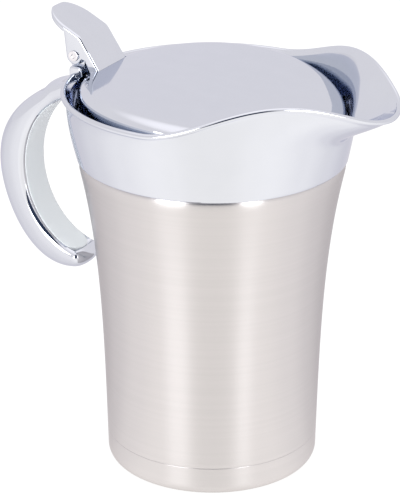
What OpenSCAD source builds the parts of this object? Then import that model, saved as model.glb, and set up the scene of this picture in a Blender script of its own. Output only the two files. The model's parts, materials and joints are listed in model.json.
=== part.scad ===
// Insulated gravy boat: double-walled steel jug with a moulded collar,
// a pouring spout, a C handle and a hinged lid worked by a thumb lever.
// Millimetres. Origin at the centre of the base, +Z up, +X to the spout.

/* [Steel body] */
// Height of the seam between the steel body and the collar
seam_z = 129.6; // [110:0.2:150]
// Outer radius of the body at the table
base_r = 42.5; // [38:0.1:46]
// Outer radius of the body at the seam
seam_r = 53.5; // [50:0.1:56]
// Share of the flare that is a straight taper
taper_share = 0.27; // [0:0.01:1]
// How late the rest of the flare opens towards the seam
flare_power = 3.6; // [2:0.1:5]
// Thickness of the steel sheet
steel_t = 0.8; // [0.5:0.05:1.2]
// Space between the two steel walls
insulation = 4.2; // [3.6:0.1:6]
// Height of the drawn base cup
base_h = 12.4; // [8:0.5:16]
// Radius of the base corner
base_corner = 4.5; // [2:0.1:6]
// Width of the ring that the jug stands on
foot_ring_w = 6; // [3:0.5:10]
// Depth of the recess under the base
foot_recess = 2; // [1:0.1:4]
// Height of the spigot that the base cup carries inside the shell
spigot_h = 4; // [2:0.5:8]
// Height of the stepped-in neck above the seam
neck_h = 9; // [6:0.5:11]
// Height of the liner's floor above the table
liner_floor_z = 9; // [7:0.5:20]
// Radius of the liner's bottom corner
liner_corner = 9; // [4:0.5:14]

/* [Collar] */
// Wall of the moulding
collar_wall = 2.2; // [1.8:0.1:2.6]
// How far the collar swells beyond the seam
collar_swell = 3.8; // [3:0.1:6]
// How far the rim curls out beyond the swell
rim_curl = 2; // [0.5:0.1:3]
// Height of the level side rim above the seam
side_rim_h = 27.2; // [24:0.2:32]
// Height of the two crests beside the spout above the side rim
crest_h = 11.4; // [6:0.1:16]
// Height of the spout's tip above the side rim
tip_h = 1.6; // [0:0.1:5]
// Distance of the crests from the jug's axis
crest_x = 48.5; // [40:0.5:54]
// Where the rim starts to climb, from the jug's axis
climb_x = 0; // [-4:0.5:10]
// Reach of the spout's tip from the jug's axis
spout_reach = 78; // [72:0.5:86]
// Radius of the spout's nose in plan
spout_nose_r = 26; // [22:0.5:32]
// Radius of the bowed sides of the spout in plan
spout_side_r = 265; // [200:5:600]
// Share of the collar's height where the spout starts to swell out
spout_start = 0.48; // [0.4:0.01:0.65]
// Share of the collar's height where the spout is fully out
spout_full = 1; // [0.85:0.01:1]
// Width of the ledge that the lid rests on, in from the neck
ledge_w = 3.9; // [3:0.1:5]
// Thickness of the ledge
ledge_t = 2; // [1.5:0.1:3]
// Thickness of the silicone ring under the ledge
seal_t = 1.6; // [1:0.1:2.4]

/* [Handle] */
// Distance of the grip's back from the collar's rim
grip_reach = 39.1; // [34:0.1:46]
// Distance of the grip's flat inner face from the collar's rim
grip_gap = 23.4; // [20:0.1:28]
// Width of the grip
grip_w = 18; // [14:0.5:22]
// Height from the side rim down to the handle's lowest point
grip_drop = 87.8; // [78:0.2:96]
// Length of the rounded toe at the handle's free end
toe_l = 3; // [2:0.1:8]
// Depth that the inner strip is let into the grip
strip_t = 1.6; // [1:0.1:2.5]
// Width of the rim of the grip beside the strip
strip_land = 1.7; // [1.2:0.1:3]
// Gap round the strip
strip_gap = 0.12; // [0.05:0.01:0.3]

/* [Lid] */
// Gap between the lid's side and the collar's wall
lid_gap = 2.8; // [2.4:0.1:5]
// Width of the lid's rounded shoulder
lid_round = 5.6; // [3:0.1:7]
// Height of the lid's rounded shoulder
lid_fall = 4.4; // [3:0.1:6]
// Wall of the lid cover
lid_wall = 2; // [1.4:0.1:2.6]
// Height of the lid's highest line above the side rim
lid_rise = 3.6; // [2:0.1:6]
// Radius of the lid's crown, which bends along the pouring direction only
lid_crown_r = 300; // [200:5:600]
// Where the crown is highest, from the jug's axis
lid_apex_x = -26; // [-40:1:0]
// Thickness of the plate that closes the lid
lid_plate_t = 1.7; // [1.2:0.1:2.5]
// Gap between the closed lid and the ledge
rest_gap = 0.3; // [0.2:0.05:0.6]

/* [Thumb lever and hinge] */
// Width of the lever
lever_w = 21.5; // [18:0.5:26]
// Thickness of the thumb plate
lever_t = 2.6; // [2:0.1:3]
// Thickness of each cheek
cheek_t = 2.25; // [1.8:0.05:3]
// Height of the hinge axis above the side rim
pin_h = 7.6; // [7:0.1:10]
// Distance of the hinge axis inside the rim's radius
pin_in = 2.9; // [2.2:0.1:3.4]
// Radius of the hinge pin
pin_r = 1.5; // [1:0.05:1.8]
// Radius of the pin's head and cap
pin_head_r = 2.2; // [2:0.05:2.8]
// Thickness of the pin's head and cap
pin_head_t = 0.8; // [0.5:0.05:1.2]
// Running clearance of the pin in the knuckle, on radius
pin_clear = 0.05; // [0.02:0.01:0.1]
// Clearance of the pin in the cheeks, on radius
pin_seat = 0.01; // [0.005:0.005:0.02]
// Radius of the knuckle
knuckle_r = 3.9; // [3.4:0.1:4.1]
// Gap between the knuckle and each cheek
cheek_gap = 0.3; // [0.2:0.05:0.6]
// Height of the lever's bend above the hinge axis
bend_h = 7.8; // [7:0.1:9]
// Distance of the lever's bend in front of the hinge axis
bend_x = 3.1; // [2:0.1:4]
// Length of the thumb plate behind the bend
thumb_l = 19; // [14:0.5:24]
// Slope of the thumb plate
thumb_slope = 27; // [15:1:40]
// Radius of the thumb plate's corners in plan
thumb_corner = 10; // [4:0.5:10]
// Distance of the lever's foot in front of the hinge axis
foot_x = 11.4; // [10.5:0.1:13]
// Depth that the foot is let into the lid
foot_sink = 3.2; // [2:0.1:4]
// Radius of the lever's two screws
screw_r = 0.9; // [0.7:0.05:1]
// Distance between the two screws
screw_pitch = 9; // [6:0.5:11]
// Length of the screws under their heads
screw_l = 8; // [6:0.5:10]

/* [Hidden] */
$fn = 96;

steel = "Silver";
chrome = "Lavender";
satin = "LightSteelBlue";
plastic = "DimGray";
silicone = "WhiteSmoke";

// Number of profile steps up the steel walls
wall_steps = 24;
// Number of steps round the collar
collar_steps = 96;
// Number of steps round a rounded corner
arc_steps = 6;
// Number of stations along each half of the handle
grip_steps = 16;
// Number of steps round the grip's convex back
back_steps = 14;
// Number of steps round the lid and across its top
lid_steps = 60;
lid_rings = 4;

// Clearance between the neck and the collar's skirt
neck_clear = 0.2;
// Clearance between nested steel pieces
nest_clear = 0.1;
// Extra length that carries a cut past its face
past = 1;

neck_r = seam_r - collar_wall - neck_clear;
neck_top = seam_z + neck_h;
lip_top = neck_top + steel_t;
ledge_bottom = lip_top + seal_t;
ledge_top = ledge_bottom + ledge_t;
ledge_r = neck_r - ledge_w;
rim_r = seam_r + collar_swell + rim_curl;
side_rim_z = seam_z + side_rim_h;
nose_x = spout_reach - spout_nose_r;

pin_x = -(rim_r - pin_in);
pin_z = side_rim_z + pin_h;

lid_r = seam_r + collar_swell - collar_wall - lid_gap;
lid_apex_z = side_rim_z + lid_rise;
plate_bottom = ledge_top + rest_gap;
cover_bottom = plate_bottom + lid_plate_t;

// Body profile

// Outer radius of the steel body at height z
function body_r(z) =
  let (u = z / seam_z)
  base_r + (seam_r - base_r) * (taper_share * u + (1 - taper_share) * pow(u, flare_power));

// Points of a quarter round about (cx, cz) from angle a to angle b
function quarter(cx, cz, r, a, b) =
  [for (i = [0:arc_steps]) let (g = a + (b - a) * i / arc_steps) [cx + r * cos(g), cz + r * sin(g)]];

// Wall points between two heights, inset from the outer surface
function wall_points(z0, z1, inset) =
  [for (i = [0:wall_steps]) let (z = z0 + (z1 - z0) * i / wall_steps) [body_r(z) - inset, z]];

function reversed(points) = [for (i = [len(points) - 1:-1:0]) points[i]];

module outer_shell() {
  neck_in = neck_r - steel_t;
  neck = [[neck_r, seam_z], [neck_r, neck_top], [neck_in, neck_top], [neck_in, seam_z - steel_t]];
  color(steel)
    rotate_extrude()
      polygon(concat(
        wall_points(base_h, seam_z, 0),
        neck,
        reversed(wall_points(base_h, seam_z - steel_t, steel_t))
      ));
}

module base_cup() {
  corner_r = body_r(base_corner);
  ring_out = corner_r - base_corner;
  ring_in = ring_out - foot_ring_w;
  spigot_r = body_r(base_h) - steel_t - nest_clear;
  outside = concat(
    [[0, foot_recess], [ring_in - foot_recess, foot_recess], [ring_in, 0]],
    quarter(ring_out, base_corner, base_corner, -90, 0),
    [[body_r(base_h), base_h], [spigot_r, base_h], [spigot_r, base_h + spigot_h]]
  );
  inside = concat(
    [[spigot_r - steel_t, base_h + spigot_h], [spigot_r - steel_t, base_corner]],
    quarter(ring_out, base_corner, base_corner - steel_t, -nest_clear, -90),
    [[ring_in, steel_t], [ring_in - foot_recess, foot_recess + steel_t], [0, foot_recess + steel_t]]
  );
  color(steel)
    rotate_extrude()
      polygon(concat(outside, inside));
}

module inner_liner() {
  inset = steel_t + insulation;
  corner_z = liner_floor_z + liner_corner;
  corner_x = body_r(corner_z) - inset - liner_corner;
  top_r = seam_r - inset;
  outside = concat(
    [[0, liner_floor_z]],
    quarter(corner_x, corner_z, liner_corner, -90, 0),
    wall_points(corner_z, seam_z, inset),
    [[top_r, neck_top], [neck_r, neck_top], [neck_r, lip_top]]
  );
  inside = concat(
    [[top_r - steel_t, lip_top]],
    reversed(wall_points(corner_z, seam_z, inset + steel_t)),
    quarter(corner_x, corner_z, liner_corner - steel_t, 0, -90),
    [[0, liner_floor_z + steel_t]]
  );
  color(steel)
    rotate_extrude()
      polygon(concat(outside, inside));
}

module neck_seal() {
  color(silicone)
    rotate_extrude()
      translate([ledge_r + nest_clear, lip_top])
        square([neck_r - ledge_r - nest_clear, seal_t]);
}

// Collar with spout

// Smooth step from 0 to 1, level at both ends
function ease(u) = u <= 0 ? 0 : u >= 1 ? 1 : (1 - cos(180 * u)) / 2;

// Centre of the wide arc that bows round the rim's circle and the nose's circle
rim_away = spout_side_r - rim_r;
nose_away = spout_side_r - spout_nose_r;
side_x = (pow(rim_away, 2) - pow(nose_away, 2) + pow(nose_x, 2)) / (2 * nose_x);
side_y = -sqrt(pow(rim_away, 2) - pow(side_x, 2));
// Angles at which the arc leaves the rim and meets the nose
side_from = atan2(-side_y, -side_x);
side_meets = [side_x, side_y] + spout_side_r * [nose_x - side_x, -side_y] / nose_away;
side_to = atan2(side_meets[1], side_meets[0]);

// Distance from the jug's axis to a circle of radius r about (x, y), in the direction g
function reach_at(g, x, y, r) = x * cos(g) + y * sin(g) + sqrt(pow(r, 2) - pow(x * sin(g) - y * cos(g), 2));

// Plan radius of the rim at angle a
function plan_r(a) =
  let (g = abs(a > 180 ? a - 360 : a))
  g >= side_from ? rim_r
  : g >= side_to ? reach_at(g, side_x, side_y, spout_side_r)
  : reach_at(g, nose_x, 0, spout_nose_r);

// Height of the rim at distance x from the jug's axis
function rim_z(x) =
  side_rim_z + (x < crest_x
    ? crest_h * ease((x - climb_x) / (crest_x - climb_x))
    : tip_h + (crest_h - tip_h) * cos(90 * (x - crest_x) / (spout_reach - crest_x)));

// Round radius of the collar at share t of its height
bell_share = 0.85;
curl_share = 0.75;
function bell_r(t) =
  seam_r + collar_swell * sin(90 * min(t / bell_share, 1))
  + rim_curl * pow(max(0, t - curl_share) / (1 - curl_share), 2);

// Outer radius of the collar at angle a and share t, with the spout swelling out
function collar_r(a, t) =
  bell_r(t) + (plan_r(a) - rim_r) * ease((t - spout_start) / (spout_full - spout_start));

// Profile of the collar at angle a, from the seam up outside, over the rim and down inside
outer_shares = [0, 0.16, 0.32, 0.48, 0.58, 0.65, 0.72, 0.78, 0.84, 0.9, 0.95];
inner_shares = [0.9, 0.78, 0.66, 0.54, 0.42, 0.28, 0.14, 0];
// Lift of the inner surface that keeps the wall under the spout thick
spout_lift = 1.5;
function collar_profile(a) =
  let (
    top = rim_z(plan_r(a) * cos(a)),
    high = top - seam_z,
    bead = collar_wall / 2,
    bead_x = plan_r(a) - bead,
    bead_z = top - bead,
    skirt_r = seam_r - collar_wall
  )
  concat(
    [for (t = outer_shares) [collar_r(a, t), seam_z + t * high]],
    [for (g = [0:60:180]) [bead_x + bead * cos(g), bead_z + bead * sin(g)]],
    [for (s = inner_shares)
      let (z = ledge_top + s * (bead_z - ledge_top), t = (z - spout_lift - seam_z) / high)
      [min(collar_r(a, t), collar_r(a, (z - seam_z) / high)) - collar_wall, z]],
    [[ledge_r, ledge_top], [ledge_r, ledge_bottom], [skirt_r, ledge_bottom], [skirt_r, seam_z]]
  );

// Closed ring of profiles, one at each angle
module ring_loft(profiles) {
  n = len(profiles);
  m = len(profiles[0]);
  points = [
    for (i = [0:n - 1])
      for (p = profiles[i])
        let (a = 360 * i / n)
        [p[0] * cos(a), p[0] * sin(a), p[1]]
  ];
  faces = [
    for (i = [0:n - 1])
      for (j = [0:m - 1])
        let (here = i * m, next = (i + 1) % n * m, k = (j + 1) % m)
        each [[here + j, here + k, next + k], [here + j, next + k, next + j]]
  ];
  polyhedron(points, faces);
}

module collar_ring() {
  ring_loft([for (i = [0:collar_steps - 1]) collar_profile(360 * i / collar_steps)]);
}

// Handle

// Point of a cubic curve at t
function curve_point(p, t) =
  pow(1 - t, 3) * p[0] + 3 * pow(1 - t, 2) * t * p[1] + 3 * (1 - t) * t * t * p[2] + pow(t, 3) * p[3];

// Handle curves are set out from the rim, outwards and down
function from_rim(out, down) = [-(rim_r + out), side_rim_z - down];

// Depth of the root inside the rim, and the drops of its top and underside
root_in = 4.3;
root_top = 2.2;
root_under = 11.4;
// Drops at which the back and the face reach furthest out
back_drop = 44.9;
face_drop = 43.9;
// Distance of the toe's end inside the rim, and its rise above the lowest point
toe_in = 3.9;
toe_back = 3.4;
toe_face = 9;
// Pull of each curve at the root, out and down, and on both sides of its furthest point
back_pull = [18.75, 10.8];
back_rise = 23;
back_fall = 17.9;
face_pull = [14.7, 12.7];
face_rise = 15.1;
face_fall = 16.7;
// Pull of each curve at the toe
back_sweep = 10.6;
face_sweep = 11.2;
face_sweep_out = 12.9;
back_upper = [
  from_rim(-root_in, root_top), from_rim(back_pull[0], back_pull[1]),
  from_rim(grip_reach, back_drop - back_rise), from_rim(grip_reach, back_drop)
];
back_lower = [
  from_rim(grip_reach, back_drop), from_rim(grip_reach, back_drop + back_fall),
  from_rim(grip_gap, grip_drop + back_sweep), from_rim(-toe_in, grip_drop - toe_back)
];
face_upper = [
  from_rim(-root_in, root_under), from_rim(face_pull[0], face_pull[1]),
  from_rim(grip_gap, face_drop - face_rise), from_rim(grip_gap, face_drop)
];
face_lower = [
  from_rim(grip_gap, face_drop), from_rim(grip_gap, face_drop + face_fall),
  from_rim(face_sweep_out, grip_drop - face_sweep), from_rim(-toe_in, grip_drop - toe_face)
];

// Back and face points of the handle at s, from 0 at the root to 2 at the toe
function back_at(s) = s < 1 ? curve_point(back_upper, s) : curve_point(back_lower, s - 1);
function face_at(s) = s < 1 ? curve_point(face_upper, s) : curve_point(face_lower, s - 1);

// Half width of the handle at s, flaring into the collar and rounding off at the toe
root_flare = 2;
root_share = 0.3;
function half_w(s) = grip_w / 2 + root_flare * pow(max(0, 1 - s / root_share), 2);
// Share of a curve that the toe's length takes at its end, and the smallest squared scale there
toe_share = toe_l / (3 * norm(face_lower[3] - face_lower[2]));
toe_least = 0.004;
function toe_scale(s) =
  let (u = max(0, (s - 2 + toe_share) / toe_share))
  sqrt(max(toe_least, 1 - u * u));

// Section of the handle at s: convex back, flat face with a recess of the given depth
function grip_section(s, depth) =
  let (
    mid = (back_at(s) + face_at(s)) / 2,
    k = toe_scale(s),
    b = mid + k * (back_at(s) - mid),
    f = mid + k * (face_at(s) - mid),
    w = k * half_w(s),
    inward = (b - f) / norm(b - f),
    g = f + depth * inward,
    e = max(w - strip_land, w / 2)
  )
  concat(
    [for (i = [0:back_steps])
      let (a = 180 * i / back_steps, p = f + (b - f) * sin(a)) [p[0], w * cos(a), p[1]]],
    depth == 0
      ? [[f[0], -e, f[1]], [f[0], -e / 2, f[1]], [f[0], e / 2, f[1]], [f[0], e, f[1]]]
      : [[f[0], -e, f[1]], [g[0], -e, g[1]], [g[0], e, g[1]], [f[0], e, f[1]]]
  );

// Skin through a row of equal sections, each end closed by a fan about its middle
function middle(points) =
  [for (k = [0:2]) ([for (p = points) p[k]] * [for (p = points) 1]) / len(points)];
module section_loft(sections) {
  n = len(sections);
  m = len(sections[0]);
  last = (n - 1) * m;
  points = concat([for (s = sections) each s], [middle(sections[0]), middle(sections[n - 1])]);
  sides = [
    for (i = [0:n - 2])
      for (j = [0:m - 1])
        let (here = i * m, next = here + m, k = (j + 1) % m)
        each [[here + j, here + k, next + k], [here + j, next + k, next + j]]
  ];
  near_end = [for (j = [0:m - 1]) [n * m, (j + 1) % m, j]];
  far_end = [for (j = [0:m - 1]) [n * m + 1, last + j, last + (j + 1) % m]];
  polyhedron(points, concat(near_end, sides, far_end));
}

// Stations along the handle, closer together at the toe
strip_from = 0.28;
step_in = 0.002;
strip_to = 2 - toe_share - 2 * step_in;
strip_step = (strip_to - strip_from) / (2 * grip_steps);
plain_root = [0, 0.08, 0.16, 0.22, strip_from - step_in];
strip_span = [for (i = [0:2 * grip_steps]) strip_from + strip_step * i];
plain_toe = concat([strip_to + step_in], [for (i = [0:6]) 2 - toe_share * (1 - sin(15 * i))]);

module handle_grip() {
  section_loft(concat(
    [for (s = plain_root) grip_section(s, 0)],
    [for (s = strip_span) grip_section(s, strip_t)],
    [for (s = plain_toe) grip_section(s, 0)]
  ));
}

// Section of the strip that fills the recess
function strip_section(s) =
  let (
    b = back_at(s),
    f = face_at(s),
    inward = (b - f) / norm(b - f),
    g = f + (strip_t - strip_gap / 4) * inward,
    e = half_w(s) - strip_land - strip_gap
  )
  [[f[0], e, f[1]], [g[0], e, g[1]], [g[0], -e, g[1]], [f[0], -e, f[1]]];

module handle_cover() {
  first = strip_from + 2 * step_in;
  last = strip_to - 2 * step_in;
  color(satin)
    section_loft([for (s = strip_span) strip_section(min(max(s, first), last))]);
}

// Hinge

shoulder_gap = 0.6;
shoulder_z = pin_z - knuckle_r - shoulder_gap;
knuckle_w = lever_w - 2 * (cheek_t + cheek_gap);
// Back and front of the pedestal under the knuckle, from the hinge axis
pedestal_back = 2.6;
pedestal_front = 3.2;
pedestal_drop = 12;
// Half width of the pedestal's lower end
pedestal_end = 1;
// Radius of the fillet between the pedestal's back and the handle's top, and the top's slope there
root_fillet = 10;
root_slope = 32;

// Extrudes a side view across the width w
module across(w) {
  translate([0, w / 2, 0])
    rotate([90, 0, 0])
      linear_extrude(w)
        children();
}

// Round hole or shaft along the hinge axis between two distances across
module along_pin(r, y0, y1) {
  translate([pin_x, y1, pin_z])
    rotate([90, 0, 0])
      cylinder(r = r, h = y1 - y0);
}

module pedestal() {
  back = pin_x - pedestal_back;
  front = pin_x + pedestal_front;
  across(lever_w)
    polygon([
      [back, shoulder_z], [front, shoulder_z], [front, shoulder_z - pedestal_drop / 2],
      [pin_x + pedestal_end, shoulder_z - pedestal_drop],
      [pin_x - pedestal_end, shoulder_z - pedestal_drop],
      [back, shoulder_z - pedestal_drop / 2]
    ]);
  across(knuckle_w)
    polygon([
      [pin_x - knuckle_r, pin_z], [pin_x + knuckle_r, pin_z],
      [front, shoulder_z - past], [back, shoulder_z - past]
    ]);
  across(knuckle_w)
    polygon(concat(
      quarter(back - root_fillet, shoulder_z, root_fillet, 0, root_slope - 90),
      [[back - root_fillet / 2, shoulder_z - pedestal_drop], [back + past, shoulder_z - pedestal_drop]],
      [[back + past, shoulder_z]]
    ));
  along_pin(knuckle_r, -knuckle_w / 2, knuckle_w / 2);
}

module collar() {
  color(chrome)
    difference() {
      union() {
        collar_ring();
        handle_grip();
        pedestal();
      }
      along_pin(pin_r + pin_clear, -lever_w, lever_w);
    }
}

// Lid

// Height of the lid's top at x: an arc along the pouring direction
function lid_z(x) = lid_apex_z - lid_crown_r + sqrt(pow(lid_crown_r, 2) - pow(x - lid_apex_x, 2));

// Rings of points that the lid's cap is lofted from
crown_r = lid_r - lid_round;
// Least height of the lid's straight side
side_least = 0.4;
// Ring of radius r at a depth below the lid's top, and a level one at height z
function lid_ring(r, drop) =
  [for (i = [0:lid_steps - 1])
    let (a = 360 * i / lid_steps, x = r * cos(a), z = lid_z(x) - drop)
    [x, r * sin(a), max(z, cover_bottom + side_least)]];
function level_ring(r, z) =
  [for (i = [0:lid_steps - 1]) let (a = 360 * i / lid_steps) [r * cos(a), r * sin(a), z]];
function crown_rings(drop) = [for (k = [1:lid_rings]) lid_ring(crown_r * k / lid_rings, drop)];
function shoulder_rings(inset) =
  [for (g = [72:-18:0])
    lid_ring(crown_r + (lid_round - inset) * cos(g), lid_fall - (lid_fall - inset) * sin(g))];

module lid_shell() {
  rings = concat(
    crown_rings(0),
    shoulder_rings(0),
    [level_ring(lid_r, cover_bottom), level_ring(lid_r - lid_wall, cover_bottom)],
    reversed(shoulder_rings(lid_wall)),
    reversed(crown_rings(lid_wall))
  );
  n = lid_steps;
  m = len(rings);
  points = concat([for (r = rings) each r], [[0, 0, lid_z(0)], [0, 0, lid_z(0) - lid_wall]]);
  sides = [
    for (j = [0:m - 2])
      for (i = [0:n - 1])
        let (here = j * n, next = here + n, k = (i + 1) % n)
        each [[here + i, here + k, next + k], [here + i, next + k, next + i]]
  ];
  top = [for (i = [0:n - 1]) [m * n, (i + 1) % n, i]];
  under = [for (i = [0:n - 1]) [m * n + 1, (m - 1) * n + i, (m - 1) * n + (i + 1) % n]];
  polyhedron(points, concat(top, sides, under));
}

// Seat of the lever in the lid
foot_front = pin_x + foot_x;
foot_in = 3.1;
foot_back = -lid_r + foot_in;
foot_floor = lid_z(foot_front) - foot_sink;
seat_clear = 0.08;
seat_t = 3.6;
screw_edge = 0.7;
screw_x = foot_front - screw_r - screw_edge;
screw_head_r = 1.7 * screw_r;
screw_head_t = 1.3;

module screw_pattern() {
  for (side = [-1, 1])
    translate([screw_x, side * screw_pitch / 2, 0])
      children();
}

module lid_cover() {
  seat_w = lever_w + 2 * lid_wall;
  color(chrome)
    difference() {
      union() {
        lid_shell();
        intersection() {
          translate([-lid_r, -seat_w / 2, foot_floor - seat_t])
            cube([foot_front + lid_wall + lid_r, seat_w, seat_t + foot_sink / 2]);
          cylinder(r = lid_r - lid_wall / 2, h = lid_apex_z);
        }
      }
      translate([-lid_r - past, -lever_w / 2 - seat_clear, foot_floor])
        cube([foot_front + seat_clear + lid_r + past, lever_w + 2 * seat_clear, lid_fall + foot_sink]);
      screw_pattern()
        translate([0, 0, foot_floor - seat_t - past])
          cylinder(r = screw_r + nest_clear, h = seat_t + 2 * past);
    }
}

// Distance of the plate's edge inside the cover's side
plate_in = 0.4;

module lid_liner() {
  plate_r = lid_r - plate_in;
  spigot_r = lid_r - lid_wall - nest_clear;
  rim_w = 1.5;
  rim_up = 1.5;
  color(plastic)
    rotate_extrude()
      polygon([
        [0, plate_bottom], [plate_r, plate_bottom], [plate_r, cover_bottom], [spigot_r, cover_bottom],
        [spigot_r, cover_bottom + rim_up], [spigot_r - rim_w, cover_bottom + rim_up],
        [spigot_r - rim_w, cover_bottom], [0, cover_bottom]
      ]);
}

// Thumb lever

bend_r = 6;
bend = [pin_x + bend_x, pin_z + bend_h];
foot = [foot_front, lid_z(foot_front)];
leg_angle = atan2(bend[1] - foot[1], bend[0] - foot[0]);
thumb_angle = 180 - thumb_slope;
function along(angle, l) = l * [cos(angle), sin(angle)];
thumb_tip = bend + along(thumb_angle, thumb_l);
bend_back = bend_r * tan((thumb_angle - leg_angle) / 2);
bend_centre = bend - along(leg_angle, bend_back) + along(leg_angle + 90, bend_r);
function bend_arc(r) =
  [for (i = [0:arc_steps])
    bend_centre + along(leg_angle - 90 + (thumb_angle - leg_angle) * i / arc_steps, r)];
// Back edge and notch of the cheeks, from the hinge axis
cheek_back = 4.9;
notch = [4.4, -1.7];

module lever_outline() {
  tip_x = thumb_tip[0] - lever_t / 4;
  half = lever_w / 2;
  round_x = tip_x + thumb_corner;
  translate([round_x, -half])
    square([foot_front + past - round_x, lever_w]);
  translate([tip_x, -half + thumb_corner])
    square([thumb_corner + past, lever_w - 2 * thumb_corner]);
  for (side = [-1, 1])
    translate([round_x, side * (half - thumb_corner)])
      circle(thumb_corner);
}

module thumb_plate() {
  intersection() {
    across(lever_w)
      polygon(concat(
        [foot], bend_arc(bend_r), [thumb_tip, thumb_tip + along(thumb_angle + 90, lever_t)],
        reversed(bend_arc(bend_r - lever_t)), [foot + along(leg_angle + 90, lever_t)]
      ));
    translate([0, 0, foot_floor])
      linear_extrude(thumb_tip[1] + past - foot_floor)
        lever_outline();
  }
}

module cheek_profile() {
  back_x = pin_x - cheek_back;
  thumb_z = bend[1] + (bend[0] - back_x) * tan(thumb_slope);
  polygon(concat(
    [[back_x, thumb_z - lever_t / 2], [pin_x - knuckle_r, pin_z], [pin_x, pin_z],
      [pin_x, pin_z] + notch, [foot_back, foot_floor], [foot_front, foot_floor], foot],
    bend_arc(bend_r - lever_t / 4)
  ));
  translate([pin_x, pin_z])
    circle(knuckle_r);
}

module thumb_lever() {
  leg_up = foot + along(leg_angle, lever_t) + along(leg_angle + 90, lever_t);
  color(chrome)
    difference() {
      union() {
        thumb_plate();
        for (side = [-1, 1])
          translate([0, side * (lever_w - cheek_t) / 2, 0])
            across(cheek_t)
              cheek_profile();
        across(lever_w)
          polygon([
            [foot_back, foot_floor], [foot_front, foot_floor], foot,
            leg_up, [foot_back, leg_up[1]]
          ]);
      }
      along_pin(pin_r + pin_seat, -lever_w, lever_w);
      screw_pattern()
        translate([0, 0, foot_floor - past])
          cylinder(r = screw_r + pin_seat, h = screw_l - seat_t + past);
    }
}

module lever_screws() {
  head_z = foot_floor - seat_t;
  color(steel)
    screw_pattern() {
      translate([0, 0, head_z - screw_head_t])
        cylinder(r = screw_head_r, h = screw_head_t);
      translate([0, 0, head_z - screw_head_t / 2])
        cylinder(r = screw_r, h = screw_l + screw_head_t / 2 - nest_clear);
    }
}

// Hinge pin

pin_end = lever_w / 2 + pin_head_t / 2;
dimple_r = 0.7;
dimple_depth = 0.3;

module hinge_pin() {
  face = -lever_w / 2;
  color(steel)
    difference() {
      union() {
        along_pin(pin_r, face - pin_head_t / 2, pin_end);
        along_pin(pin_head_r, face - pin_head_t, face);
      }
      along_pin(dimple_r, face - pin_head_t - past, face - pin_head_t + dimple_depth);
    }
}

module pin_cap() {
  face = lever_w / 2;
  color(steel)
    difference() {
      along_pin(pin_head_r, face, face + pin_head_t);
      along_pin(pin_r + pin_seat, face - past, pin_end + pin_seat);
    }
}

outer_shell();
base_cup();
inner_liner();
neck_seal();
collar();
handle_cover();
lid_cover();
lid_liner();
thumb_lever();
lever_screws();
hinge_pin();
pin_cap();
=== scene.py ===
import json
import math

import bmesh
import bpy
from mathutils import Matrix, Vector


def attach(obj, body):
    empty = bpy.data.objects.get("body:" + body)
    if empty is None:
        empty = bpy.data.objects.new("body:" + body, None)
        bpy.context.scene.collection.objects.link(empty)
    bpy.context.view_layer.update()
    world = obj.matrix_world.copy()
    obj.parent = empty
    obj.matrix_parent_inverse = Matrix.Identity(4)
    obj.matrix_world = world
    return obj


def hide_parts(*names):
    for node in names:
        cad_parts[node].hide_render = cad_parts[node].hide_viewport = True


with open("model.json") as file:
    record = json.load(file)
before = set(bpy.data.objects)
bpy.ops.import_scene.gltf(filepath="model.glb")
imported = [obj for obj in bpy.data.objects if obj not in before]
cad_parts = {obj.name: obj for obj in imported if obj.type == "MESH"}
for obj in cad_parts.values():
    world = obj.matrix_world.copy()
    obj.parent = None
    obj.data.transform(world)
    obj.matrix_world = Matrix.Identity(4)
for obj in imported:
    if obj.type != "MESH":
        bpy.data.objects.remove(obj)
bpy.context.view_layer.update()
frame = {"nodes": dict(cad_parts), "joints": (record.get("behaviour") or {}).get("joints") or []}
print("frame loaded:", len(frame["nodes"]), "nodes")

mm = 0.001  # sizes below are in millimetres, meshes in metres
pinX, pinZ = (c / mm for c in frame["joints"][0]["pos_m"][::2])  # hinge axis


# small shape tools

def ease(u):  # 0 to 1, level at both ends
    u = min(max(u, 0), 1)
    return (1 - math.cos(math.pi * u)) / 2


def spread(a, b, steps):
    return [a + (b - a) * i / steps for i in range(steps + 1)]


def arc(cx, cz, r, a, b, steps):  # angles in degrees
    turns = [math.radians(g) for g in spread(a, b, steps)]
    return [(cx + r * math.cos(g), cz + r * math.sin(g)) for g in turns]


def bezier(p, t):
    shares = ((1 - t) ** 3, 3 * (1 - t) ** 2 * t, 3 * (1 - t) * t * t, t ** 3)
    return Vector([sum(s * q[k] for s, q in zip(shares, p)) for k in (0, 1)])


def softened(corners, steps=5, most=0.49):  # closed outline, each corner (x, z, radius)
    points = []
    for i, (x, z, r) in enumerate(corners):
        here = Vector((x, z))
        back = Vector(corners[i - 1][:2]) - here
        ahead = Vector(corners[(i + 1) % len(corners)][:2]) - here
        if r == 0:
            points.append((x, z))
            continue
        reach = min(r / math.tan(back.angle(ahead) / 2), most * back.length, most * ahead.length)
        start = here + back.normalized() * reach
        end = here + ahead.normalized() * reach
        for u in spread(0, 1, steps):
            points.append(tuple(start * (1 - u) ** 2 + here * 2 * u * (1 - u) + end * u * u))
    return points


def lathe(profile, segments=192):  # closed outline of (radius, height) turned round Z
    points, rows, faces = [], [], []
    for r, z in profile:
        count = 1 if r == 0 else segments
        rows.append([len(points) + i for i in range(count)])
        for i in range(count):
            a = 2 * math.pi * i / segments
            points.append((r * math.cos(a), r * math.sin(a), z))
    for k, low in enumerate(rows):
        high = rows[(k + 1) % len(rows)]
        if len(low) == len(high) == 1:
            continue
        for i in range(segments):
            j = (i + 1) % segments
            ring = [low[i % len(low)], low[j % len(low)], high[j % len(high)], high[i % len(high)]]
            faces.append(tuple(dict.fromkeys(ring)))
    return points, faces


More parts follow.
